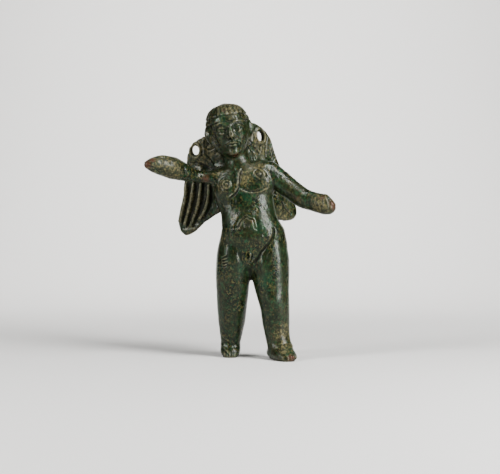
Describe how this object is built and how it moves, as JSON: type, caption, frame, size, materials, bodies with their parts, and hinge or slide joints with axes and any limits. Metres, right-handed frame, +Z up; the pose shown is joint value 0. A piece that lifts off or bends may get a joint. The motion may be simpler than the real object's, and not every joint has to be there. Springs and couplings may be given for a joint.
{
  "type": "bronze statuette of a winged child",
  "caption": "Small cast bronze statuette of a standing nude winged child, arms held out, with a green patina.",
  "frame": {"origin": "on the ground plane of the feet, under the centre of the bounding box", "axes": "+Z up along the standing height; the figure faces -Y; +X is to the right of a viewer who faces it"},
  "size_m": [0.0526, 0.0293, 0.0718],
  "materials": {
    "bronze": "gloss"
  },
  "bodies": {
    "root": {"statuette": "bronze"}
  },
  "joints": []
}
